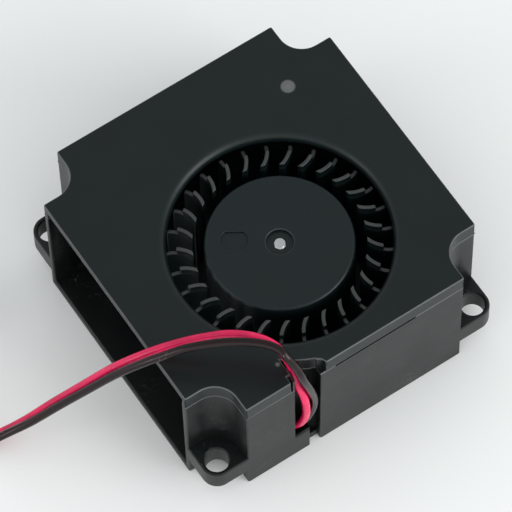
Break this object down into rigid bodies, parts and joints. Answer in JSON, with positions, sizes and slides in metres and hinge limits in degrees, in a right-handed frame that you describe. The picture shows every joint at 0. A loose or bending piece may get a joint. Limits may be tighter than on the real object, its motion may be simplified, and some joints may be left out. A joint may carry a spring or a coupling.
{
  "type": "blower fan",
  "caption": "Square DC blower fan with a scroll duct, an axial inlet, a side outlet, a drum impeller on an external-rotor motor and two loose leads with a plug.",
  "frame": {"origin": "centre of the square base face, at the bottom", "axes": "+Z along the rotor axis towards the inlet, -X out of the outlet, the wire slot in the -Y wall"},
  "size_m": [0.0751, 0.041, 0.0259],
  "materials": {
    "casing_plastic": "fine-grained black moulded plastic",
    "cover_plastic": "fine-grained black moulded plastic",
    "rotor_plastic": "satin black moulded plastic",
    "label_film": "bare white label film",
    "brass": "turned",
    "sintered_bronze": "porous, oiled",
    "white_plastic": "natural nylon",
    "yoke_steel": "drawn sheet",
    "magnet": "bonded ferrite",
    "shaft_steel": "ground",
    "lamination_steel": "stamped sheets",
    "enamelled_copper": "enamelled winding wire",
    "tin": "dull tin",
    "board": "green solder mask",
    "chip": "moulded epoxy",
    "capacitor": "ceramic",
    "red_insulation": "smooth lead insulation",
    "black_insulation": "smooth lead insulation",
    "plug_plastic": "natural nylon"
  },
  "bodies": {
    "casing": {"housing": "casing_plastic", "cover": "cover_plastic", "rear_label": "label_film", "bearing_tube": "brass", "sleeve_bearing": "sintered_bronze", "thrust_pad": "white_plastic", "stator_core": "lamination_steel", "upper_insulator": "white_plastic", "lower_insulator": "white_plastic", "coil_1": "enamelled_copper", "coil_2": "enamelled_copper", "coil_3": "enamelled_copper", "coil_4": "enamelled_copper", "winding_pins": "tin", "circuit_board": "board", "driver_chip": "chip", "chip_capacitor": "capacitor", "chip_resistor": "chip", "solder_joints": "tin", "red_lead": "red_insulation", "black_lead": "black_insulation", "lead_coil": "black_insulation", "plug_housing": "plug_plastic", "plug_contacts": "tin"},
    "rotor": {"impeller": "rotor_plastic", "rotor_yoke": "yoke_steel", "ring_magnet": "magnet", "shaft_bush": "brass", "shaft": "shaft_steel", "retaining_ring": "white_plastic", "oil_slinger": "white_plastic"}
  },
  "joints": [
    {"name": "rotor_spin", "type": "hinge", "parent": "casing", "child": "rotor", "pos_m": [0.00035, -0.0038, 0.011], "axis": [0, 0, 1], "continuous": true}
  ]
}
